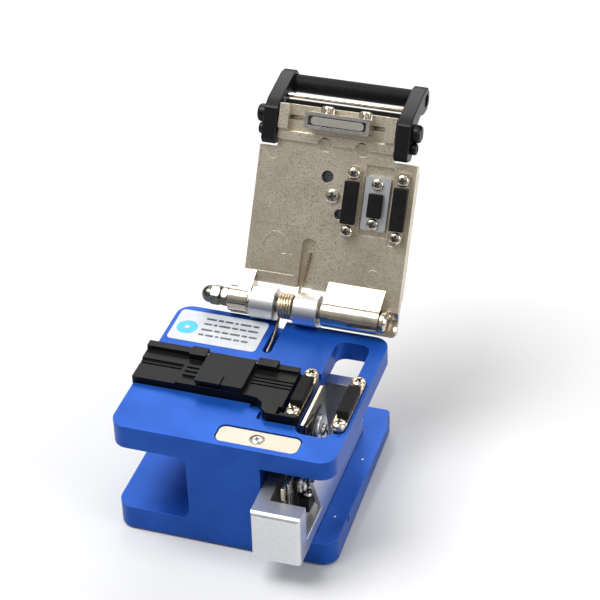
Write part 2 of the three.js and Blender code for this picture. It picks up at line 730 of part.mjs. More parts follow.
function buildUpperClamp(side, x, recess) {
  const back = lidFace + recess - 0.02;
  const screws = clampScrewPlaces.filter(([sx]) => Math.abs(sx - x) < 2);
  const holder = cut(
    lidRounded(x - 1.9, x + 1.9, 21.6, 42.3, holderFace, back, 1.6),
    ...screws.map(([sx, s]) => lidRod(sx, s, -5, 5, 0.95, 12)),
  );
  piece(`upper_clamp_holder_${side}`, holder, brightNickel(), lidGroup);
  const pad = lidBox(x - 2.0, x + 2.0, 25.9, 38.0, upperPadFace, holderFace);
  piece(`upper_clamp_pad_${side}`, pad, blackRubber(), lidGroup);
  const ends = ["outer", "inner"];
  screws.forEach(([sx, s], i) => {
    const screw = placed(panScrew(1.75, 1.3, 0.7, 2.9), "down", sx, alongLid(s), holderFace);
    piece(`upper_clamp_screw_${side}_${ends[i]}`, screw, brightNickel(), lidGroup);
  });
}

function buildAnvil() {
  const back = lidFace + 0.7;
  const face = lidFace - 0.8;
  const plate = cut(
    lidRounded(18.2, 25.4, 24.9, 40.1, face, back, 0.8),
    ...anvilScrewPlaces.map(([x, s]) => lidRod(x, s, -5, 5, 0.9, 12)),
  );
  piece("anvil_plate", plate, satinAluminium(), lidGroup);
  piece("anvil_pad", lidBox(19.9, 23.8, 28.6, 35.4, face - 2.0, face), blackRubber(), lidGroup);
  ["outer", "inner"].forEach((end, i) => {
    const [x, s] = anvilScrewPlaces[i];
    const screw = placed(panScrew(1.7, 1.2, 0.75, 2.6), "down", x, alongLid(s), face);
    piece(`anvil_screw_${end}`, screw, brightNickel(), lidGroup);
  });
}

function buildMagnetCatch() {
  const front = -2.6;
  const back = lidFace + 0.35;
  const s0 = 51.1;
  const s1 = 55.7;
  const screwHeight = 0.4;
  const housing = cut(
    lidRounded(-0.6, 18.2, s0, s1, front, back, 0.5),
    lidRounded(0.4, 17.2, s0 + 0.9, s1 - 0.9, front - 1, back - 1.2, 0.5),
    ...magnetScrewPlaces.map((x) => rodY(x, screwHeight, -s1 - 1, -s1 + 0.6, 0.9, 12)),
  );
  piece("magnet_housing", housing, brightNickel(), lidGroup);
  const magnet = lidRounded(1.3, 16.6, s0 + 1.2, s1 - 1.2, front - 0.15, back - 1.2, 1.0);
  piece("catch_magnet", magnet, finish(0x8d8779, 0.4, 0.8), lidGroup);
  magnetScrewPlaces.forEach((x, i) => {
    const screw = placed(panScrew(2.0, 2.2, 0.7, 0.5), "front", x, -s1, screwHeight);
    piece(`magnet_screw_${["left", "right"][i]}`, screw, brightNickel(), lidGroup);
  });
  const lidScrew = placed(panScrew(2.1, 1.0, 0.9, 2.2), "down", 9.1, alongLid(32.8), lidFace);
  piece("lid_screw", lidScrew, brightNickel(), lidGroup);
}

// ---------------------------------------------------------------- handle across the lid's front edge
const barReach = 62.5;
const barHeight = 14.5;
const barRadius = 2.6;
const rodReach = 59.2;
const rodHeight = 7.0;
const rodRadius = 0.75;
const armThickness = 4.1;
const armInnerFaces = [["left", bandLeft - gap, -1], ["right", bandRight + gap, 1]];

function armOutline() {
  const outline = [
    [46.4, -0.5],
    [45.2, 0.8],
    [45.4, 4.8],
    [46.8, 5.8],
    [54.0, 5.8],
    [58.0, 9.8],
    [58.5, 13.8],
    [59.8, 17.0],
    [62.4, 18.2],
    [65.0, 17.2],
    [66.3, 14.6],
    [65.4, 11.6],
    [58.2, 1.8],
    [55.4, -0.5],
  ];
  return polygon(outline.map(([s, height]) => [alongLid(s), height]));
}

// A round head with its shank, towards +Z, its seat at the origin.
function armScrew(headRadius, headHeight, shankRadius) {
  const shankLength = armThickness + 2.5;
  return turned([
    [0, -shankLength],
    [shankRadius, -shankLength],
    [shankRadius, 0],
    [headRadius, 0],
    [headRadius, headHeight * 0.6],
    [headRadius - 0.5, headHeight],
    [0, headHeight],
  ], 20);
}

function buildHandle() {
  armInnerFaces.forEach(([side, inner, outward]) => {
    const along = (a, b) => {
      const ends = [inner + outward * a, inner + outward * b];
      return [Math.min(...ends), Math.max(...ends)];
    };
    const barAxis = [alongLid(barReach), barHeight];
    const arm = cut(
      profileAlongX(armOutline(), ...along(0, armThickness)),
      rodX(...barAxis, ...along(-1, armThickness - 1.6), barRadius + 0.1, 24),
      rodX(...barAxis, ...along(armThickness - 0.9, armThickness + 1), 1.9, 16),
      rodX(alongLid(rodReach), rodHeight, ...along(-1, 1.6), rodRadius + 0.1, 12),
      ...armScrewPlaces.map(([s, radius]) =>
        rodX(alongLid(s), armScrewHeight, ...along(-1, armThickness + 1), radius + 0.15, 12)),
    );
    piece(`handle_arm_${side}`, arm, blackPlastic(), lidGroup);
    const towards = outward > 0 ? "right" : "left";
    const seat = inner + outward * armThickness;
    const heads = [["arm_screw", 2.6, 2.4], ["arm_lock_screw", 1.7, 1.7]];
    heads.forEach(([name, headRadius, headHeight], i) => {
      const [s, shankRadius] = armScrewPlaces[i];
      const screw = placed(armScrew(headRadius, headHeight, shankRadius), towards, seat, alongLid(s), armScrewHeight);
      piece(`${name}_${side}`, screw, blackPlastic(), lidGroup);
    });
  });
  const reach = armThickness - 1.7;
  const bar = rodX(alongLid(barReach), barHeight, bandLeft - gap - reach, bandRight + gap + reach, barRadius, 24);
  piece("handle_bar", bar, blackRubber(), lidGroup);
  const rodEnd = gap + 1.4;
  const rod = rodX(alongLid(rodReach), rodHeight, bandLeft - rodEnd, bandRight + rodEnd, rodRadius, 16);
  piece("handle_cross_rod", rod, brightNickel(), lidGroup);
  const plateBack = lidFace + lidThickness + gap;
  const crossPlate = lidBox(bandLeft, bandRight, 54.5, 58.2, plateBack, plateBack + 1.4);
  piece("handle_cross_plate", crossPlate, blackPlastic(), lidGroup);
}

buildBody();
buildSole();
buildDeckFittings();
buildLowerClamps();
buildAdapter();
buildLeaf();
buildRail();
buildSlider();
buildBladeGuards();
buildBladeLever();
buildBlade();
buildHinge();
buildSpring();
buildLid();
buildUpperClamp("left", 14.8, 0);
buildUpperClamp("right", 29.0, 0.4);
buildAnvil();
buildMagnetCatch();
buildHandle();

assembly.updateMatrixWorld(true);

export default assembly;
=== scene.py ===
"""A bench optical fibre cleaver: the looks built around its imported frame.

Lengths in this file are millimetres until mesh_object() turns them into metres. Pieces of the lid are built as
if the lid were closed with the hinge axis at the origin, and the matrix LID opens them.
"""

import json
import math

import bmesh
import bpy
from mathutils import Matrix, Vector


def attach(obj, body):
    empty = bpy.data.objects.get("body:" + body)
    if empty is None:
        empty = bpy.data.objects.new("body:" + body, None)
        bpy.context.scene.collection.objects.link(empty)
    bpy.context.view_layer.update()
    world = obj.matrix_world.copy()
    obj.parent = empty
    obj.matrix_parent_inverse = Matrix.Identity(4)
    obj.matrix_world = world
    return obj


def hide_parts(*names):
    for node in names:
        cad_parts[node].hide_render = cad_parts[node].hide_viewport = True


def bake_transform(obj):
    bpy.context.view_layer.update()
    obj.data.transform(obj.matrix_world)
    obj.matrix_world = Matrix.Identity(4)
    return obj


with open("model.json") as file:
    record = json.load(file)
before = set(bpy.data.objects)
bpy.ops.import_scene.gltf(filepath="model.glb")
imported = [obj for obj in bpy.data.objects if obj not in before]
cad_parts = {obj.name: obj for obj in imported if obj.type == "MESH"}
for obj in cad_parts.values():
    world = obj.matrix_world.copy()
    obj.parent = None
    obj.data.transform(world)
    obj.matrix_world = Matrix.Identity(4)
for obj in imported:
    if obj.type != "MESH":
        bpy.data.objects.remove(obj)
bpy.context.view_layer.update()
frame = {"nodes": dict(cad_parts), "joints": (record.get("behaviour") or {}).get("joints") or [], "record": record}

MM = 0.001
joints = {j["name"]: j for j in frame["joints"]}
body_of_node = {n: b for b, nodes in frame["record"]["behaviour"]["bodies"].items() for n in nodes}
slot_of_node = {s["node"]: s["material_slot"] for s in frame["record"]["subparts"]}

HINGE = Vector(joints["lid_hinge"]["pos_m"]) / MM
LID_OPEN = math.radians(joints["lid_hinge"]["range_deg"][1])
LID = Matrix.Translation(HINGE) @ Matrix.Rotation(-LID_OPEN, 4, "X")
BODY = Matrix.Identity(4)
LID_FACE = 2.25  # height of the lid's inner face over the hinge axis, with the lid shut
BASE_TOP = 8.0  # height of the top of the base slab


# ---------------------------------------------------------------- camera, floor and light
def make_camera():
    azimuth, elevation, roll = (math.radians(v) for v in (18.948, 35.93, -1.939))
    back = Vector((
        math.sin(azimuth) * math.cos(elevation),
        -math.cos(azimuth) * math.cos(elevation),
        math.sin(elevation),
    ))
    level = Vector((math.cos(azimuth), math.sin(azimuth), 0))
    upright = back.cross(level)
    right = math.cos(roll) * level + math.sin(roll) * upright
    up = -math.sin(roll) * level + math.cos(roll) * upright
    data = bpy.data.cameras.new("camera")
    data.lens = 120.98
    data.sensor_width = 36
    data.clip_start, data.clip_end = 0.01, 10
    camera = bpy.data.objects.new("camera", data)
    turn = Matrix((right, up, back)).transposed().to_4x4()
    camera.matrix_world = Matrix.Translation(Vector((154.352, -407.505, 378.994)) * MM) @ turn
    bpy.context.scene.collection.objects.link(camera)
    bpy.context.scene.camera = camera


def make_area_light(name, place, target, size, power):
    data = bpy.data.lights.new(name, "AREA")
    data.shape = "RECTANGLE"
    data.size, data.size_y = size
    data.energy = power
    light = bpy.data.objects.new(name, data)
    light.location = place
    aim = Vector(target) - Vector(place)
    light.rotation_euler = aim.to_track_quat("-Z", "Y").to_euler()
    bpy.context.scene.collection.objects.link(light)


def make_stage():
    """A pale floor that curves up behind the object, and a soft studio around it."""
    bm = bmesh.new()
    steps = [(-3.0, 0.0), (0.9, 0.0)]
    bend = 0.6
    for i in range(1, 13):
        angle = math.pi / 2 * i / 12
        steps.append((0.9 + bend * math.sin(angle), bend * (1 - math.cos(angle))))
    steps.append((1.5, 3.0))
    rows = [[bm.verts.new((x, y, z - 0.00002)) for x in (-3, 3)] for y, z in steps]
    for low, high in zip(rows, rows[1:]):
        bm.faces.new((low[0], low[1], high[1], high[0])).smooth = True
    mesh = bpy.data.meshes.new("studio_floor")
    bm.to_mesh(mesh)
    floor = bpy.data.objects.new("studio_floor", mesh)
    bpy.context.scene.collection.objects.link(floor)
    floor.data.materials.append(stage_material())

    make_world()
    centre = (0, 0, 0.04)
    make_area_light("key_softbox", (-0.42, -0.12, 0.95), centre, (0.6, 0.6), 11.5)
    make_area_light("fill_softbox", (0.85, -0.15, 0.50), centre, (0.4, 0.6), 4.0)
    make_area_light("back_softbox", (0.00, 0.80, 0.72), centre, (1.1, 0.5), 6.5)
    bpy.context.scene.view_settings.view_transform = "Standard"


def make_world():
    """Light from all round: bright overhead, dimmer towards the horizon, so that metal has something to mirror."""
    world = bpy.data.worlds.new("studio")
    bpy.context.scene.world = world
    world.use_nodes = True
    tree = world.node_tree
    place = tree.nodes.new("ShaderNodeTexCoord").outputs["Generated"]
    split = tree.nodes.new("ShaderNodeSeparateXYZ")
    tree.links.new(place, split.inputs["Vector"])
    ramp = tree.nodes.new("ShaderNodeValToRGB")
    tree.links.new(split.outputs["Z"], ramp.inputs["Fac"])
    stops = ((0.0, 0.20), (0.12, 0.26), (0.34, 0.55), (0.62, 0.85), (1.0, 1.0))
    elements = ramp.color_ramp.elements
    while len(elements) < len(stops):
        elements.new(0.5)
    for element, (position, grey) in zip(elements, stops):
        element.position = position
        element.color = (grey * 0.98, grey * 0.99, grey, 1)
    background = tree.nodes["Background"]
    tree.links.new(ramp.outputs["Color"], background.inputs["Color"])
    background.inputs["Strength"].default_value = 0.55


# ---------------------------------------------------------------- materials
class Surface:
    """A Principled material whose procedural textures are laid out in the piece's own coordinates."""

    def __init__(self, name, colour, roughness, metallic=0.0):
        self.material = bpy.data.materials.new(name)
        self.material.use_nodes = True
        self.tree = self.material.node_tree
        self.bsdf = self.tree.nodes["Principled BSDF"]
        self.place = self.tree.nodes.new("ShaderNodeTexCoord").outputs["Object"]
        self.set("Base Color", (*colour, 1))
        self.set("Roughness", roughness)
        self.set("Metallic", metallic)

    def set(self, socket, value):
        self.bsdf.inputs[socket].default_value = value
        return self

    def join(self, output, socket):
        self.tree.links.new(output, self.bsdf.inputs[socket])
        return self

    def stretched(self, scale):
        node = self.tree.nodes.new("ShaderNodeMapping")
        node.inputs["Scale"].default_value = scale
        self.tree.links.new(self.place, node.inputs["Vector"])
        return node.outputs["Vector"]

    def noise(self, size, detail=2.0, roughness=0.5, place=None):
        """Noise whose blotches are about size millimetres wide."""
        node = self.tree.nodes.new("ShaderNodeTexNoise")
        node.inputs["Scale"].default_value = 1 / (size * MM)
        node.inputs["Detail"].default_value = detail
        node.inputs["Roughness"].default_value = roughness
        self.tree.links.new(place or self.place, node.inputs["Vector"])
        return node.outputs["Fac"]

    def cells(self, size):
        node = self.tree.nodes.new("ShaderNodeTexVoronoi")
        node.inputs["Scale"].default_value = 1 / (size * MM)
        self.tree.links.new(self.place, node.inputs["Vector"])
        return node.outputs["Distance"]

    def spread(self, value, low, high, from_low=0.3, from_high=0.7):
        node = self.tree.nodes.new("ShaderNodeMapRange")
        self.tree.links.new(value, node.inputs["Value"])
        for socket, number in zip(("From Min", "From Max", "To Min", "To Max"), (from_low, from_high, low, high)):
            node.inputs[socket].default_value = number
        return node.outputs["Result"]

    def tint(self, value, first, second):
        """Colour from first to second as value goes from 0 to 1."""
        node = self.tree.nodes.new("ShaderNodeMix")
        node.data_type = "RGBA"
        self.tree.links.new(value, node.inputs["Factor"])
        for socket, colour in (("A", first), ("B", second)):
            target = next(s for s in node.inputs if s.name == socket and s.type == "RGBA")
            if isinstance(colour, bpy.types.NodeSocket):
                self.tree.links.new(colour, target)
            else:
                target.default_value = (*colour, 1)
        return next(s for s in node.outputs if s.type == "RGBA")

    def edges(self, radius, low=0.0, high=1.0):
        """1 along convex edges within radius millimetres, 0 on open faces. The materials use it to paint highlights
        along edges.
        """
        bevel = self.tree.nodes.new("ShaderNodeBevel")
        bevel.samples = 4
        bevel.inputs["Radius"].default_value = radius * MM
        normal = self.tree.nodes.new("ShaderNodeNewGeometry").outputs["Normal"]
        dot = self.tree.nodes.new("ShaderNodeVectorMath")
        dot.operation = "DOT_PRODUCT"
        self.tree.links.new(bevel.outputs["Normal"], dot.inputs[0])
        self.tree.links.new(normal, dot.inputs[1])
        return self.spread(dot.outputs["Value"], high, low, 0.80, 0.995)

    def bump(self, height, depth):
        """Raised by height, at most depth millimetres."""
        node = self.tree.nodes.new("ShaderNodeBump")
        node.inputs["Distance"].default_value = depth * MM
        node.inputs["Strength"].default_value = 1.0
        self.tree.links.new(height, node.inputs["Height"])
        return self.join(node.outputs["Normal"], "Normal")


def stage_material():
    surface = Surface("studio_paper", (0.61, 0.61, 0.61), 0.9)
    surface.join(surface.tint(surface.noise(60, 3), (0.60, 0.60, 0.605), (0.62, 0.62, 0.62)), "Base Color")
    return surface.material


def blue_anodised():
    s = Surface("blue_anodised", (0.008, 0.075, 0.40), 0.38, 0.4)
    fine = s.noise(0.18, 3, 0.6)
    tone = s.tint(s.spread(s.noise(9, 3), 0, 1), (0.006, 0.062, 0.33), (0.010, 0.082, 0.41))
    # painted highlight: the base colour turns paler blue along the edges
    s.join(s.tint(s.edges(0.35, 0, 0.5), tone, (0.06, 0.18, 0.62)), "Base Color")
    s.join(s.spread(fine, 0.30, 0.44), "Roughness")
    s.set("Specular IOR Level", 0.2)
    return s.bump(fine, 0.006).material


def nickel_diecast():
    s = Surface("nickel_diecast", (0.50, 0.46, 0.38), 0.34, 0.95)
    grain = s.noise(0.42, 4, 0.75)
    pits = s.spread(s.cells(1.1), 1, 0, 0.02, 0.16)
    tone = s.tint(s.spread(s.noise(11, 3), 0, 1), (0.62, 0.535, 0.41), (0.80, 0.71, 0.57))
    speckled = s.tint(s.spread(grain, 0.75, 0, 0.36, 0.52), tone, (0.42, 0.365, 0.29))
    worn = s.tint(pits, speckled, (0.38, 0.335, 0.27))
    # painted highlight: the base colour turns pale cream along the edges
    s.join(s.tint(s.edges(0.3, 0, 0.6), worn, (0.86, 0.82, 0.74)), "Base Color")
    s.join(s.spread(grain, 0.24, 0.48), "Roughness")
    return s.bump(grain, 0.05).material


def bright_nickel():
    s = Surface("bright_nickel", (0.80, 0.77, 0.71), 0.14, 1.0)
    s.join(s.tint(s.spread(s.noise(3.5, 3), 0, 1), (0.55, 0.48, 0.38), (0.70, 0.63, 0.52)), "Base Color")
    s.join(s.spread(s.noise(0.5, 4, 0.6), 0.14, 0.28), "Roughness")
    return s.bump(s.noise(1.4, 2), 0.004).material


def cream_nickel():
    s = Surface("cream_nickel", (0.74, 0.66, 0.52), 0.26, 0.7)
    streaks = s.noise(0.8, 3, 0.6, s.stretched((0.12, 1, 1)))
    s.join(s.tint(s.spread(streaks, 0, 1), (0.40, 0.365, 0.295), (0.47, 0.435, 0.36)), "Base Color")
    s.join(s.spread(streaks, 0.30, 0.46), "Roughness")
    return s.bump(streaks, 0.003).material


def brass_nickel():
    s = Surface("brass_nickel", (0.74, 0.63, 0.46), 0.24, 1.0)
    s.join(s.tint(s.spread(s.noise(0.9, 3), 0, 1), (0.62, 0.50, 0.34), (0.84, 0.76, 0.62)), "Base Color")
    s.join(s.spread(s.noise(0.25, 3), 0.16, 0.36), "Roughness")
    return s.bump(s.noise(0.3, 3), 0.005).material


def satin_aluminium():
    s = Surface("satin_aluminium", (0.74, 0.75, 0.78), 0.34, 0.9)
    fine = s.noise(0.15, 3, 0.6)
    scuffs = s.noise(1.2, 4, 0.7, s.stretched((1, 0.15, 1)))
    tone = s.tint(s.spread(scuffs, 0, 1, 0.30, 0.60), (0.64, 0.65, 0.67), (0.70, 0.71, 0.73))
    # painted highlight: the base colour turns near white along the edges
    s.join(s.tint(s.edges(0.3, 0, 0.6), tone, (0.92, 0.93, 0.95)), "Base Color")
    s.join(s.spread(fine, 0.26, 0.44), "Roughness")
    return s.bump(fine, 0.008).material


def steel():
    s = Surface("steel", (0.58, 0.57, 0.55), 0.25, 1.0)
    fine = s.noise(0.3, 3)
    s.join(s.tint(s.spread(s.noise(1.6, 3), 0, 1), (0.48, 0.46, 0.43), (0.66, 0.65, 0.63)), "Base Color")
    s.join(s.spread(fine, 0.18, 0.36), "Roughness")
    return s.bump(fine, 0.004).material


def spring_steel():
    s = Surface("spring_steel", (0.60, 0.50, 0.36), 0.25, 1.0)
    streaks = s.noise(0.35, 3)
    s.join(s.tint(s.spread(streaks, 0, 1), (0.48, 0.38, 0.25), (0.74, 0.66, 0.52)), "Base Color")
    s.join(s.spread(streaks, 0.18, 0.34), "Roughness")
    return s.bump(streaks, 0.004).material


def dark_nut():
    s = Surface("dark_nut", (0.30, 0.28, 0.25), 0.24, 1.0)
    fine = s.noise(0.4, 3)
    s.join(s.tint(s.spread(fine, 0, 1), (0.09, 0.085, 0.075), (0.20, 0.185, 0.165)), "Base Color")
    s.join(s.spread(fine, 0.16, 0.34), "Roughness")
    return s.bump(fine, 0.005).material


# Also used as painted shade in the driver recesses of screws and in the lid's two holes.
def dark_steel():
    s = Surface("dark_steel", (0.16, 0.16, 0.17), 0.28, 1.0)
    fine = s.noise(0.25, 3)
    s.join(s.tint(s.spread(fine, 0, 1), (0.12, 0.12, 0.13), (0.22, 0.22, 0.23)), "Base Color")
    s.join(s.spread(fine, 0.2, 0.4), "Roughness")
    return s.bump(fine, 0.004).material


def magnet_grey():
    s = Surface("magnet_grey", (0.40, 0.38, 0.33), 0.42, 0.8)
    grain = s.noise(0.2, 4, 0.7)
    s.join(s.tint(s.spread(grain, 0, 1), (0.32, 0.30, 0.26), (0.50, 0.47, 0.41)), "Base Color")
    s.join(s.spread(grain, 0.34, 0.55), "Roughness")
    return s.bump(grain, 0.01).material


def black_plastic():
    s = Surface("black_plastic", (0.007, 0.007, 0.0075), 0.36).set("Specular IOR Level", 0.14)
    grain = s.noise(0.14, 3, 0.6)
    # painted highlight: the black turns a little lighter along the edges
    s.join(s.tint(s.edges(0.25, 0, 0.6), (0.005, 0.005, 0.0055), (0.022, 0.022, 0.024)), "Base Color")
    s.join(s.spread(grain, 0.30, 0.48), "Roughness")
    return s.bump(grain, 0.010).material


def black_anodised():
    s = Surface("black_anodised", (0.006, 0.006, 0.007), 0.32).set("Specular IOR Level", 0.22)
    grain = s.noise(0.2, 3, 0.6)
    # painted highlight: the black turns a little lighter along the edges
    s.join(s.tint(s.edges(0.25, 0, 0.7), (0.005, 0.005, 0.006), (0.04, 0.04, 0.044)), "Base Color")
    s.join(s.spread(grain, 0.26, 0.42), "Roughness")
    return s.bump(grain, 0.008).material


def black_rubber():
    s = Surface("black_rubber", (0.007, 0.007, 0.0075), 0.5).set("Specular IOR Level", 0.1)
    grain = s.noise(0.12, 4, 0.7)
    s.join(s.tint(s.spread(s.noise(2.0, 3), 0, 1), (0.005, 0.005, 0.0055), (0.010, 0.010, 0.0105)), "Base Color")
    s.join(s.spread(grain, 0.42, 0.66), "Roughness")
    return s.bump(grain, 0.012).material


def printed_film(name, first, second):
    s = Surface(name, first, 0.38)
    s.join(s.tint(s.spread(s.noise(2.5, 3), 0, 1), first, second), "Base Color")
    s.join(s.spread(s.noise(0.4, 2), 0.32, 0.45), "Roughness")
    return s.bump(s.noise(0.5, 2), 0.002).material


MATERIALS = {
    "blue_anodised": blue_anodised(),
    "nickel_diecast": nickel_diecast(),
    "bright_nickel": bright_nickel(),
    "cream_nickel": cream_nickel(),
    "brass_nickel": brass_nickel(),
    "satin_aluminium": satin_aluminium(),
    "steel": steel(),
    "spring_steel": spring_steel(),
    "dark_nut": dark_nut(),
    "dark_steel": dark_steel(),
    "magnet_grey": magnet_grey(),
    "black_plastic": black_plastic(),
    "black_anodised": black_anodised(),
    "black_rubber": black_rubber(),
    "label_white": printed_film("label_white", (0.44, 0.46, 0.49), (0.50, 0.52, 0.54)),
    "label_cyan": printed_film("label_cyan", (0.02, 0.36, 0.62), (0.03, 0.42, 0.68)),
    "label_grey": printed_film("label_grey", (0.05, 0.055, 0.065), (0.10, 0.105, 0.115)),
}


# ---------------------------------------------------------------- making meshes
def mesh_object(name, bm, space=BODY, smooth=30):
    """An object in metres from a bmesh in millimetres. Edges sharper than smooth degrees stay crisp."""
    bm.transform(Matrix.Scale(MM, 4) @ space)
    bmesh.ops.recalc_face_normals(bm, faces=bm.faces)
    limit = math.radians(smooth)
    for face in bm.faces:
        face.smooth = True
    for edge in bm.edges:
        edge.smooth = len(edge.link_faces) == 2 and edge.calc_face_angle(0) < limit
    mesh = bpy.data.meshes.new(name)
    bm.to_mesh(mesh)
    bm.free()
    made = bpy.data.objects.new(name, mesh)
    bpy.context.scene.collection.objects.link(made)
    return made


def boolean(made, others, operation="DIFFERENCE"):
    """Joins or cuts made with the others, which are used up."""
    for other in others:
        modifier = made.modifiers.new("cut", "BOOLEAN")
        modifier.operation = operation
        modifier.solver = "EXACT"
        modifier.object = other
    graph = bpy.context.evaluated_depsgraph_get()
    mesh = bpy.data.meshes.new_from_object(made.evaluated_get(graph))
    old = made.data
    made.modifiers.clear()
    made.data = mesh
    mesh.name = made.name
    bpy.data.meshes.remove(old)
    for other in others:
        bpy.data.objects.remove(other)
    return made


def room_beside(edge):
    """How wide a rounding the edge has room for, in millimetres, before it meets the next corner of either face."""
    room = 1e3
    for loop in edge.link_loops:
        pull = 0.0
        before, after = loop.link_loop_prev, loop.link_loop_next
        for other, vertex in ((before.edge, loop.vert), (after.edge, after.vert)):
            away = other.other_vert(vertex).co - vertex.co
            along = edge.other_vert(vertex).co - vertex.co
            if away.length == 0 or along.length == 0:
                continue
            turn = along.angle(away)
            pull += math.tan(min((math.pi - turn) / 2, 1.3))
            if turn < math.radians(135):
                room = min(room, 0.4 * away.length / MM * math.sin(max(turn, math.radians(15))))
        if pull > 1e-3:
            room = min(room, 0.8 * edge.calc_length() / MM / pull)
    return room


def even_room(edges):
    """One room for all edges that run on smoothly into each other, the smallest of theirs."""
    room = {edge: room_beside(edge) for edge in edges}
    for _ in range(40):
        changed = False
        for edge in edges:
            for vertex in edge.verts:
                along = edge.other_vert(vertex).co - vertex.co
                for other in vertex.link_edges:
                    if other is edge or other not in room or room[other] >= room[edge]:
                        continue
                    if along.angle(other.other_vert(vertex).co - vertex.co, 0) > math.radians(130):
                        room[edge] = room[other]
                        changed = True
        if not changed:
            break
    return room


FOLDED_LIMIT = 0.05  # square millimetres


def folded_area(made):
    """The area of a mesh, in square millimetres, whose triangles face away from the polygon that they fill."""
    graph = bpy.context.evaluated_depsgraph_get()
    mesh = bpy.data.meshes.new_from_object(made.evaluated_get(graph))
    mesh.calc_loop_triangles()
    folded = sum(
        triangle.area
        for triangle in mesh.loop_triangles
        if triangle.normal.dot(mesh.polygons[triangle.polygon_index].normal) < 0.3
    )
    bpy.data.meshes.remove(mesh)
    return folded / MM**2


def soften_edges(made, width, segments=3, weight=None):
    """Rounds every sharp edge. weight says what share of width an edge takes, from its middle.

    No edge takes more than it has room for, and the width goes down until no face folds over."""
    bm = bmesh.new()
    bm.from_mesh(made.data)
    bmesh.ops.remove_doubles(bm, verts=bm.verts, dist=0.002 * MM)
    bmesh.ops.dissolve_degenerate(bm, dist=0.004 * MM, edges=bm.edges)
    bmesh.ops.dissolve_limit(bm, angle_limit=math.radians(0.4), verts=bm.verts, edges=bm.edges)
    layer = bm.edges.layers.float.new("bevel_weight_edge")
    sharp = math.radians(28)
    for face in bm.faces:
        face.smooth = True
    for edge in bm.edges:
        edge.smooth = True
    rounded = [edge for edge in bm.edges if len(edge.link_faces) == 2 and edge.calc_face_angle(0) > sharp]
    for edge, room in even_room(rounded).items():
        middle = (edge.verts[0].co + edge.verts[1].co) / 2 / MM
        share = weight(middle) if weight else 1.0
        edge[layer] = min(share, room / width)
    bm.to_mesh(made.data)
    bm.free()
    bevel = made.modifiers.new("bevel", "BEVEL")
    bevel.segments = segments
    bevel.limit_method = "WEIGHT"
    bevel.use_clamp_overlap = False
    bevel.loop_slide = False
    bevel.face_strength_mode = "FSTR_ALL"
    for share in (1.0, 0.8, 0.6, 0.45, 0.3, 0.2, 0.1):
        bevel.width = width * share * MM
        if folded_area(made) < FOLDED_LIMIT:
            break
    else:
        made.modifiers.remove(bevel)
    even = made.modifiers.new("even_shading", "WEIGHTED_NORMAL")
    even.mode = "FACE_AREA"
    even.weight = 100
    even.keep_sharp = True
    even.use_face_influence = "bevel" in made.modifiers
    return made


def cad_copy(node, name):
    bm = bmesh.new()
    bm.from_mesh(frame["nodes"][node].data)
    bmesh.ops.remove_doubles(bm, verts=bm.verts, dist=0.002 * MM)
    bm.transform(Matrix.Scale(1 / MM, 4))
    return mesh_object(name, bm)


def paint_where(made, material, here):
    """Gives another material to the faces whose middle, in millimetres, here says yes to."""
    made.data.materials.append(MATERIALS[material])
    last = len(made.data.materials) - 1
    for polygon in made.data.polygons:
        if here(polygon.center / MM):
            polygon.material_index = last


def finish_piece(made, node, material=None, stands_for=True):
    """Gives the piece its material, and its body and slot from the CAD node."""
    slot = slot_of_node[node]
    made.data.materials.clear()
    made.data.materials.append(MATERIALS[material or slot])
    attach(made, body_of_node[node])
    if stands_for:
        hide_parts(node)
    return made


def refined(node, width, segments=3, weight=None, cutters=(), additions=(), material=None):
    """The CAD node with rounded edges and what is cut from it or added to it."""
    made = cad_copy(node, node + "_shell")
    if additions:
        boolean(made, additions, "UNION")
    if cutters:
        boolean(made, cutters)
    soften_edges(made, width, segments, weight)
    return finish_piece(made, node, material)


# ---------------------------------------------------------------- basic solids, in millimetres
def rounded_line(points, radius, steps=4):
    """The same line with each inner corner eased over about radius millimetres."""
    line = [Vector(points[0])]
    for before, corner, after in zip(points, points[1:], points[2:]):
        here = Vector(corner)
        back, on = Vector(before) - here, Vector(after) - here
        reach_back = min(radius, back.length * 0.48)
        reach_on = min(radius, on.length * 0.48)
        start, end = here + back.normalized() * reach_back, here + on.normalized() * reach_on
        for i in range(steps + 1):
            t = i / steps
            line.append(start * (1 - t) ** 2 + here * 2 * t * (1 - t) + end * t ** 2)
    line.append(Vector(points[-1]))
    return line


def lathe(profile, segments=48):
    """A bmesh of (radius, height) points turned about +Z. The line starts and ends on the axis."""
    bm = bmesh.new()
    rings = []
    for radius, height in profile:
        if radius < 1e-6:
            rings.append([bm.verts.new((0, 0, height))])
        else:
            turn = (2 * math.pi * i / segments for i in range(segments))
            rings.append([bm.verts.new((radius * math.cos(a), radius * math.sin(a), height)) for a in turn])
    for low, high in zip(rings, rings[1:]):
        for i in range(segments):
            j = (i + 1) % segments
            if len(low) == 1 and len(high) > 1:
                bm.faces.new((low[0], high[j], high[i]))
            elif len(high) == 1 and len(low) > 1:
                bm.faces.new((low[i], low[j], high[0]))
            elif len(low) > 1:
                bm.faces.new((low[i], low[j], high[j], high[i]))
    return bm


def prism(outline, z0, z1):
    """A bmesh of (x, y) points raised from z0 to z1."""
    bm = bmesh.new()
    low = [bm.verts.new((x, y, z0)) for x, y in outline]
    high = [bm.verts.new((x, y, z1)) for x, y in outline]
    bm.faces.new(low)
    bm.faces.new(high)
    for i in range(len(low)):
        j = (i + 1) % len(low)
        bm.faces.new((low[i], low[j], high[j], high[i]))
    return bm


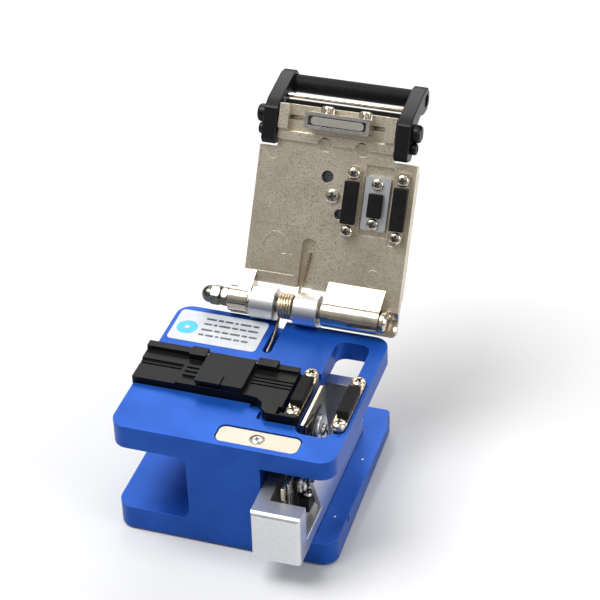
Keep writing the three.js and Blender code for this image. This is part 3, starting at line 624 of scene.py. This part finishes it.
def rounded_outline(x0, x1, y0, y1, radius, steps=8):
    corners = ((x1 - radius, y0 + radius, -90), (x1 - radius, y1 - radius, 0),
               (x0 + radius, y1 - radius, 90), (x0 + radius, y0 + radius, 180))
    points = []
    for cx, cy, start in corners:
        for i in range(steps + 1):
            a = math.radians(start + 90 * i / steps)
            points.append((cx + radius * math.cos(a), cy + radius * math.sin(a)))
    return points


def hull(points):
    bm = bmesh.new()
    for point in points:
        bm.verts.new(point)
    made = bmesh.ops.convex_hull(bm, input=bm.verts)
    bmesh.ops.delete(bm, geom=made["geom_interior"] + made["geom_unused"], context="VERTS")
    return bm


def block(x0, x1, y0, y1, z0, z1):
    return prism([(x0, y0), (x1, y0), (x1, y1), (x0, y1)], z0, z1)


def tube(points, radius, sides=12):
    """A bmesh tube along the points, with flat closed ends."""
    bm = bmesh.new()
    line = [Vector(p) for p in points]
    along = [(line[min(i + 1, len(line) - 1)] - line[max(i - 1, 0)]).normalized() for i in range(len(line))]
    across = along[0].orthogonal().normalized()
    rings = []
    for point, direction in zip(line, along):
        across = (across - direction * across.dot(direction)).normalized()
        other = direction.cross(across)
        angles = [2 * math.pi * i / sides for i in range(sides)]
        rings.append([bm.verts.new(point + radius * (math.cos(a) * across + math.sin(a) * other)) for a in angles])
    for low, high in zip(rings, rings[1:]):
        for i in range(sides):
            j = (i + 1) % sides
            bm.faces.new((low[i], low[j], high[j], high[i]))
    bm.faces.new(list(reversed(rings[0])))
    bm.faces.new(rings[-1])
    return bm


def towards(direction, place=(0, 0, 0), twist=0):
    """The matrix that stands +Z along direction at place."""
    turn = Vector(direction).to_track_quat("Z", "Y").to_matrix().to_4x4()
    return Matrix.Translation(Vector(place)) @ turn @ Matrix.Rotation(math.radians(twist), 4, "Z")


def local_box(node, space):
    """Lowest and highest corner of a CAD node in millimetres, measured in that space."""
    back = space.inverted()
    points = [back @ (v.co / MM) for v in frame["nodes"][node].data.vertices]
    low = Vector([min(p[i] for p in points) for i in range(3)])
    high = Vector([max(p[i] for p in points) for i in range(3)])
    return low, high


# ---------------------------------------------------------------- screws and nuts
def cross_recess(radius, top, depth):
    """Two tapered blades that leave a Phillips recess."""
    made = []
    for turn in (0, 90):
        points = []
        for z, share in ((top + 0.3, 1.0), (top - depth, 0.42)):
            half_length, half_width = radius * 0.68 * share, radius * 0.19 * (0.5 + 0.5 * share)
            points += [(x, y, z) for x in (-half_length, half_length) for y in (-half_width, half_width)]
        bm = hull(points)
        bm.transform(Matrix.Rotation(math.radians(turn), 4, "Z"))
        made.append(bm)
    points = [(radius * 0.3 * math.cos(a), radius * 0.3 * math.sin(a), top + 0.3)
              for a in (math.pi / 4 * i for i in range(8))]
    made.append(hull(points + [(0, 0, top - depth * 1.25)]))
    return made


def slot_recess(radius, top, depth):
    return [block(-radius * 1.2, radius * 1.2, -radius * 0.14, radius * 0.14, top - depth, top + 1)]


def hex_recess(radius, top, depth):
    corners = [math.pi / 3 * i for i in range(6)]
    outline = [(radius * 0.52 * math.cos(a), radius * 0.52 * math.sin(a)) for a in corners]
    return [prism(outline, top - depth, top + 1)]


def pan_profile(radius, height, shank_radius, shank_length):
    rim = height * 0.48
    dome = []
    for i in range(1, 9):
        a = math.pi / 2 * i / 8
        dome.append((radius * math.cos(a) ** 0.8 if i < 8 else 0, rim + (height - rim) * math.sin(a)))
    return [(0, -shank_length), (shank_radius, -shank_length), (shank_radius, 0), (radius * 0.96, 0),
            (radius, height * 0.08), (radius, rim), *dome]


def cheese_profile(radius, height, shank_radius, shank_length):
    line = [(0, -shank_length), (shank_radius, -shank_length), (shank_radius, 0), (radius, 0),
            (radius, height * 0.72), (radius * 0.84, height), (0, height)]
    return [(p.x, p.y) for p in rounded_line(line, 0.16, 3)]


def stepped_profile(radius, height, shank_radius, shank_length):
    line = [(0, -shank_length), (shank_radius, -shank_length), (shank_radius, 0), (radius, 0),
            (radius, height * 0.38), (radius * 0.78, height * 0.40), (radius * 0.78, height * 0.78),
            (radius * 0.5, height), (0, height)]
    return [(p.x, p.y) for p in rounded_line(line, 0.12, 3)]


def screw(node, space, direction, head_height, recess, profile=pan_profile, twist=0, material=None):
    """Rebuilds a screw with a domed head and a driver recess, where its CAD solid is."""
    low, high = local_box(node, space)
    axis = max(range(3), key=lambda i: abs(direction[i]))
    sides = [i for i in range(3) if i != axis]
    radius = (high[sides[0]] - low[sides[0]]) / 2
    length = high[axis] - low[axis]
    seat = (low + high) / 2
    tip = high[axis] if direction[axis] > 0 else low[axis]
    seat[axis] = tip - math.copysign(head_height, direction[axis])
    shape = lathe(profile(radius, head_height, radius * 0.4, length - head_height))
    made = mesh_object(node + "_fine", shape)
    cutters = [mesh_object("cutter", bm) for bm in recess(radius, head_height, head_height * 0.62)]
    boolean(made, cutters)
    finish_piece(made, node, material)
    if recess is cross_recess:
        paint_recess_shade(made, radius, head_height)
    place_mesh(made, space @ towards(direction, seat, twist))
    crisp(made)
    return made


def paint_recess_shade(made, radius, height):
    """Gives the walls and floor of a driver recess the dark steel material as painted shade, in the head's own
    coordinates.
    """

    def inside(middle):
        return math.hypot(middle.x, middle.y) < radius * 0.62 and 0 < middle.z < height * 0.86

    paint_where(made, "dark_steel", inside)


def crisp(made, smooth=30):
    """Sets smooth shading with crisp edges above smooth degrees on a finished mesh."""
    bm = bmesh.new()
    bm.from_mesh(made.data)
    limit = math.radians(smooth)
    for face in bm.faces:
        face.smooth = True
    for edge in bm.edges:
        edge.smooth = len(edge.link_faces) == 2 and edge.calc_face_angle(0) < limit
    bm.to_mesh(made.data)
    bm.free()


def knurled_head(node, space, direction, head_height):
    """A round head with ribs round its side and a shallow dome."""
    low, high = local_box(node, space)
    radius = (high.x - low.x) / 2
    seat = (low + high) / 2
    seat.y = low.y + head_height
    outline = []
    for i in range(96):
        a = 2 * math.pi * i / 96
        ripple = radius * (0.93 + 0.07 * math.cos(16 * a))
        outline.append((ripple * math.cos(a), ripple * math.sin(a)))
    made = mesh_object(node + "_fine", prism(outline, -0.5, head_height))
    dome = pan_profile(radius, head_height, radius * 0.99, 0.5)
    boolean(made, [mesh_object("cutter", lathe(dome, 64))], "INTERSECT")
    boolean(made, [mesh_object("cutter", bm) for bm in cross_recess(radius, head_height, 0.9)])
    finish_piece(made, node)
    paint_recess_shade(made, radius, head_height)
    place_mesh(made, space @ towards(direction, seat, 20))
    crisp(made)
    return made


def build_screws():
    up, down, right, left, out = (0, 0, 1), (0, 0, -1), (1, 0, 0), (-1, 0, 0), (0, -1, 0)
    screw("catch_plate_screw", BODY, up, 0.6, cross_recess, twist=20)
    for i, name in enumerate(n for n in sorted(slot_of_node) if n.startswith("lower_clamp_screw")):
        screw(name, BODY, up, 1.35, cross_recess, twist=25 + 37 * i)
    for i, name in enumerate(n for n in sorted(slot_of_node) if n.startswith("upper_clamp_screw")):
        screw(name, LID, down, 1.3, cross_recess, twist=10 + 31 * i)
    for i, name in enumerate(("anvil_screw_outer", "anvil_screw_inner")):
        screw(name, LID, down, 1.2, cross_recess, twist=40 + 25 * i)
    screw("lid_screw", LID, down, 1.0, cross_recess, twist=15)
    for side in ("left", "right"):
        knurled_head(f"magnet_screw_{side}", LID, out, 2.2)
    screw("height_screw", BODY, up, 1.3, cross_recess, twist=55)
    screw("blade_clamp_screw", BODY, right, 1.3, cross_recess, twist=30)
    screw("lever_pivot_screw", BODY, right, 2.3, slot_recess, stepped_profile, twist=60)
    for side, direction in (("left", left), ("right", right)):
        screw(f"arm_screw_{side}", LID, direction, 2.4, slot_recess, cheese_profile, twist=35)
        screw(f"arm_lock_screw_{side}", LID, direction, 1.7, hex_recess, cheese_profile, twist=10)


def hexagon_nut(name, across_corners, length, chamfer):
    """A hexagon prism along +Z whose corners are turned off at both ends."""
    corners = [math.pi / 3 * i for i in range(6)]
    outline = [(across_corners * math.cos(a), across_corners * math.sin(a)) for a in corners]
    made = mesh_object(name, prism(outline, 0, length))
    flat = across_corners * 0.875
    profile = [(0, 0), (flat, 0), (across_corners + 0.02, chamfer), (across_corners + 0.02, length - chamfer),
               (flat, length), (0, length)]
    return boolean(made, [mesh_object("cutter", lathe(profile, 64))], "INTERSECT")


def place_mesh(made, turn):
    made.data.transform(Matrix.Scale(MM, 4) @ turn @ Matrix.Scale(1 / MM, 4))
    return made


def build_hinge_nuts():
    low, high = local_box("hinge_lock_nut", BODY)
    nut = hexagon_nut("hinge_lock_nut_fine", (high.z - low.z) / 2, high.x - low.x, 0.45)
    place_mesh(nut, towards((1, 0, 0), (low.x, HINGE.y, HINGE.z), 30))
    finish_piece(soften_edges(nut, 0.08, 2), "hinge_lock_nut", "dark_nut")

    low, high = local_box("hinge_cap_nut", BODY)
    hexagon_length = 2.8
    nut = hexagon_nut("hinge_cap_nut_fine", (high.z - low.z) / 2, hexagon_length, 0.45)
    dome_radius = 2.5
    collar = high.x - low.x - dome_radius
    dome = [(0, 0.5), (dome_radius, 0.5), (dome_radius, collar)]
    for i in range(1, 13):
        a = math.pi / 2 * i / 12
        dome.append((dome_radius * math.cos(a) if i < 12 else 0, collar + dome_radius * math.sin(a)))
    boolean(nut, [mesh_object("cutter", lathe(dome, 64))], "UNION")
    place_mesh(nut, towards((-1, 0, 0), (high.x, HINGE.y, HINGE.z), 30))
    finish_piece(soften_edges(nut, 0.08, 2), "hinge_cap_nut", "dark_nut")


def build_hinge_bolt():
    low, high = local_box("hinge_bolt", BODY)
    length = high.x - low.x
    head, head_radius, radius = 1.9, 3.2, 2.0
    line = [(0, 0), (radius - 0.3, 0), (radius, 0.3), (radius, length - head), (head_radius, length - head),
            (head_radius, length - 0.7), (head_radius - 0.6, length), (0, length)]
    profile = [(p.x, p.y) for p in rounded_line(line, 0.15, 3)]
    made = mesh_object("hinge_bolt_fine", lathe(profile, 64))
    boolean(made, [mesh_object("cutter", bm) for bm in slot_recess(head_radius, length, 0.8)])
    place_mesh(made, towards((1, 0, 0), (low.x, HINGE.y, HINGE.z), 25))
    crisp(made)
    finish_piece(made, "hinge_bolt")


def build_spring():
    """A wire with one leg in the deck, the coil round the bolt, and one leg along the lid."""
    radius, turns, pitch, start, wire = 3.3, 5, 0.82, -1.8, 0.4
    lean = LID_OPEN - math.pi / 2
    first, last = -math.pi / 2, turns * 2 * math.pi - lean
    lowest = local_box("torsion_spring", BODY)[0]
    leg_height = lowest.z + wire
    leg_front = lowest.y
    points = [(-0.9, leg_front, leg_height), (-1.0, leg_front + 2.5, leg_height),
              (-1.1, leg_front + 5, leg_height + 0.05), (-1.3, leg_front + 8, leg_height + 0.45), (-1.5, leg_front + 10.4, leg_height + 0.9)]
    steps = int((last - first) / (2 * math.pi) * 40)
    for i in range(steps + 1):
        turned = (last - first) * i / steps
        angle = first + turned
        points.append((start + pitch * turned / (2 * math.pi), HINGE.y + radius * math.cos(angle),
                       HINGE.z + radius * math.sin(angle)))
    x, y, z = points[-1]
    for reach, aside in ((2, 0.02), (4, 0.1), (6, 0.38), (8, 0.7), (10, 1.0), (12, 1.3), (14, 1.56), (16, 1.8)):
        points.append((x + aside, y + reach * math.sin(lean), z + reach * math.cos(lean)))
    made = mesh_object("torsion_spring_fine", tube(points, wire, 14), smooth=50)
    made.data.materials.append(MATERIALS["spring_steel"])
    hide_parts("torsion_spring")
    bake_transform(made)


# ---------------------------------------------------------------- body and deck
def on_body_outline(middle):
    """1 on the long outer edges of the body, less on the edges of its pockets."""
    low, high = local_box("body_frame", BODY)
    radius = 4.5
    reach = Vector((abs(middle.x) - (high.x - radius), abs(middle.y) - (high.y - radius)))
    if min(reach) > 0:
        outside = reach.length - radius
    else:
        outside = max(reach) - radius
    levels = (low.z, BASE_TOP, 29.2, 30.6, high.z)
    level = any(abs(middle.z - z) < 0.05 for z in levels) or abs(middle.x) < 12
    return 1.0 if outside > -0.12 and level else 0.3


def build_body():
    refined("body_frame", 0.55, 4, on_body_outline)
    refined("rubber_sole", 0.15)
    refined("catch_plate", 0.18)
    for name in ("lower_clamp_carrier_left", "lower_clamp_carrier_right"):
        refined(name, 0.22)
    for name in ("lower_clamp_pad_left", "lower_clamp_pad_right"):
        refined(name, 0.32)
    for name in ("hinge_boss_left", "hinge_boss_right"):
        refined(name, 0.28, 4)
    refined("fibre_adapter", 0.13)
    refined("adapter_leaf", 0.14)
    pin = local_box("leaf_hinge_pin", BODY)
    length, radius = pin[1].x - pin[0].x, (pin[1].z - pin[0].z) / 2
    line = [(0, 0), (radius - 0.15, 0), (radius, 0.15), (radius, length - 0.15),
            (radius - 0.15, length), (0, length)]
    place = (pin[0].x, (pin[0].y + pin[1].y) / 2, (pin[0].z + pin[1].z) / 2)
    made = place_mesh(mesh_object("leaf_hinge_pin_fine", lathe(line, 24)), towards((1, 0, 0), place))
    finish_piece(made, "leaf_hinge_pin")


def build_fixings():
    """The screws that hold the hinge bosses from behind, and two locating pins on the base."""
    boss_back = local_box("hinge_boss_left", BODY)[1].y
    for name, x in (("hinge_fixing_left", -6.2), ("hinge_fixing_right", 6.6)):
        head = lathe(pan_profile(1.6, 0.9, 0.7, 1.2))
        made = mesh_object(name, head)
        boolean(made, [mesh_object("cutter", bm) for bm in cross_recess(1.6, 0.9, 0.56)])
        finish_piece(made, "hinge_boss_left", "bright_nickel", stands_for=False)
        paint_recess_shade(made, 1.6, 0.9)
        place_mesh(made, towards((0, 1, 0), (x, boss_back, 33.2), 30))
        crisp(made)
    front = local_box("body_frame", BODY)[0].y
    for name, x, depth in (("base_pin_rear", 28.6, 36.7), ("base_pin_front", 28.1, 11.6)):
        made = mesh_object(name, lathe(pan_profile(0.32, 0.2, 0.25, 0.4), 24))
        place_mesh(made, Matrix.Translation(Vector((x, front + depth, BASE_TOP))))
        finish_piece(made, "body_frame", "satin_aluminium", stands_for=False)


def build_label():
    """A blank white label with a plain cyan disc and a few grey bars."""
    low, high = local_box("notice_label", BODY)
    refined("notice_label", 0.04, 2)
    top = high.z + 0.03
    disc = lathe([(0, -0.02), (3.05, -0.02), (3.05, 0), (0, 0)], 64)
    place = (-26.0, low.y + 6.2, top)
    marks = [("label_disc", disc, Matrix.Translation(Vector(place)), "label_cyan")]
    dot = lathe([(0, 0), (0.75, 0), (0.75, 0.02), (0, 0.02)], 32)
    marks.append(("label_dot", dot, Matrix.Translation(Vector(place)), "label_white"))
    dashes = (3.0, 1.6, 2.4, 1.1, 3.4, 1.8, 2.0)
    lines = ((-21.8, 11.3, 0), (-21.8, 8.9, 2), (-21.8, 6.2, 4), (-21.8, 3.8, 1))
    for row, (start, up, first) in enumerate(lines):
        x = start
        for i in range(6):
            length = dashes[(first + i) % len(dashes)]
            y = low.y + up
            bar = prism(rounded_outline(x, x + length, y - 0.42, y + 0.42, 0.25, 4), top - 0.02, top)
            marks.append((f"label_dash_{row + 1}_{i + 1}", bar, BODY, "label_grey"))
            x += length + 0.5
    for name, bm, space, material in marks:
        mark = mesh_object(name, bm, space)
        finish_piece(mark, "notice_label", material, stands_for=False)


def build_slider():
    refined("linear_rail", 0.2)
    refined("rail_carriage", 0.2)
    outer = local_box("slider_block", BODY)

    def weight(middle):
        at_side = min(abs(middle.x - outer[0].x), abs(middle.x - outer[1].x)) < 0.05
        at_front = middle.y < outer[0].y + 5.9
        return 1.0 if at_side and at_front else 0.5 if at_side or at_front else 0.25

    refined("slider_block", 0.45, 4, weight)
    refined("guard_plate", 0.12)
    refined("blade_plate", 0.08)
    refined("blade_lever", 0.15)
    blade = local_box("blade_wheel", BODY)
    centre = (blade[0] + blade[1]) / 2
    radius = (blade[1].z - blade[0].z) / 2
    line = [(0, -0.35), (radius - 0.9, -0.35), (radius - 0.55, -0.3), (radius, 0), (radius - 0.55, 0.3),
            (radius - 0.9, 0.35), (0, 0.35)]
    wheel = place_mesh(mesh_object("blade_wheel_fine", lathe(line, 96)), towards((1, 0, 0), centre))
    finish_piece(wheel, "blade_wheel")
    line = [(0, 0.36), (4.6, 0.36), (4.6, 1.1), (4.3, 1.35), (3.2, 1.35), (3.0, 1.2), (2.5, 1.2),
            (2.4, 1.35), (0, 1.35)]
    profile = [(p.x, p.y) for p in rounded_line(line, 0.1, 3)]
    made = place_mesh(mesh_object("blade_hub_fine", lathe(profile, 64)), towards((1, 0, 0), centre))
    finish_piece(made, "blade_hub")


# ---------------------------------------------------------------- lid and handle
def lid_ring(x, reach, radius, width, depth):
    """A shallow round groove for the lid's inner face."""
    face = LID_FACE
    outer_line = [(0, face - 1), (radius, face - 1), (radius, face + depth), (0, face + depth)]
    outer = mesh_object("cutter", lathe(outer_line))
    inner_line = [(0, face - 2), (radius - width, face - 2), (radius - width, face + 2), (0, face + 2)]
    boolean(outer, [mesh_object("cutter", lathe(inner_line))])
    return place_mesh(outer, LID @ Matrix.Translation(Vector((x, -reach, 0))))


def closing_arrow():
    """A curved arrow, drawn in (x, reach), that shows which way the lid shuts."""
    points = []
    for i in range(21):
        a = math.radians(200 - 215 * i / 20)
        points.append(Vector((-6.2 + 4.1 * math.cos(a), 15.0 + 5.2 * math.sin(a))))
    outline = []
    for side in (0.45, -0.45):
        row = []
        for i, point in enumerate(points):
            on = points[min(i + 1, 20)] - points[max(i - 1, 0)]
            row.append(point + Vector((-on.y, on.x)).normalized() * side)
        outline += row if side > 0 else row[::-1]
    tip = points[-1]
    head = [(tip.x - 1.5, tip.y + 0.9), (tip.x + 1.5, tip.y + 0.9), (tip.x - 0.2, tip.y - 2.2)]
    return [[(p.x, -p.y) for p in outline], [(x, -s) for x, s in head]]


def build_lid():
    face = LID_FACE
    lid_holes = ((6.8, 38.1, 1.9), (11.6, 28.0, 1.6))
    low = local_box("lid", LID)[0]
    outside = LID.inverted()

    def weight(middle):
        here = outside @ middle
        at_side = min(abs(here.x - low.x), abs(here.x - 32.2)) < 0.05
        return 1.0 if at_side and here.z > 1 else 0.35

    panel = mesh_object("cutter", prism(rounded_outline(-13, 1, -22.8, -8.7, 1.2), face - 1, face + 0.28))
    arrows = [mesh_object("cutter", prism(outline, face, face + 1)) for outline in closing_arrow()]
    boolean(panel, arrows)
    place_mesh(panel, LID)
    cutters = [panel, lid_ring(-10.1, 43.5, 2.4, 0.3, 0.14), lid_ring(23.6, 11.6, 2.5, 0.3, 0.14)]
    lid = refined("lid", 0.32, 3, weight, cutters)
    barrel_radius = -low.z

    def on_barrel(middle):
        here = outside @ middle
        return math.hypot(here.y, here.z) < barrel_radius + 0.12

    # painted shade: the walls and floor of the lid's two holes get the dark steel material
    def in_hole_shade(middle):
        here = outside @ middle
        near = any(math.hypot(here.x - x, here.y + s) < radius for x, s, radius in lid_holes)
        return near and here.z > face + 0.3

    paint_where(lid, "bright_nickel", on_barrel)
    paint_where(lid, "dark_steel", in_hole_shade)
    for side in ("left", "right"):
        refined(f"upper_clamp_holder_{side}", 0.18)
        refined(f"upper_clamp_pad_{side}", 0.3)
    refined("anvil_plate", 0.16)
    refined("anvil_pad", 0.3)
    refined("magnet_housing", 0.28, material="steel")
    refined("catch_magnet", 0.3)
    refined("handle_cross_plate", 0.3)


def build_handle():
    for side in ("left", "right"):
        refined(f"handle_arm_{side}", 0.4, 3)
    low, high = local_box("handle_bar", LID)
    length, radius = high.x - low.x, (high.y - low.y) / 2
    line = [(0, 0), (radius, 0), (radius, length), (0, length)]
    profile = [(p.x, p.y) for p in rounded_line(line, 0.4, 4)]
    place = (low.x, (low.y + high.y) / 2, (low.z + high.z) / 2)
    bar = place_mesh(mesh_object("handle_bar_fine", lathe(profile, 64)), LID @ towards((1, 0, 0), place))
    finish_piece(bar, "handle_bar")
    low, high = local_box("handle_cross_rod", LID)
    length, radius = high.x - low.x, (high.y - low.y) / 2
    line = [(0, 0), (radius, 0), (radius, length), (0, length)]
    profile = [(p.x, p.y) for p in rounded_line(line, 0.15, 3)]
    place = (low.x, (low.y + high.y) / 2, (low.z + high.z) / 2)
    rod = place_mesh(mesh_object("handle_cross_rod_fine", lathe(profile, 48)), LID @ towards((1, 0, 0), place))
    finish_piece(rod, "handle_cross_rod")


make_camera()
make_stage()
build_screws()
build_hinge_nuts()
build_hinge_bolt()
build_spring()
build_body()
build_fixings()
build_label()
build_slider()
build_lid()
build_handle()
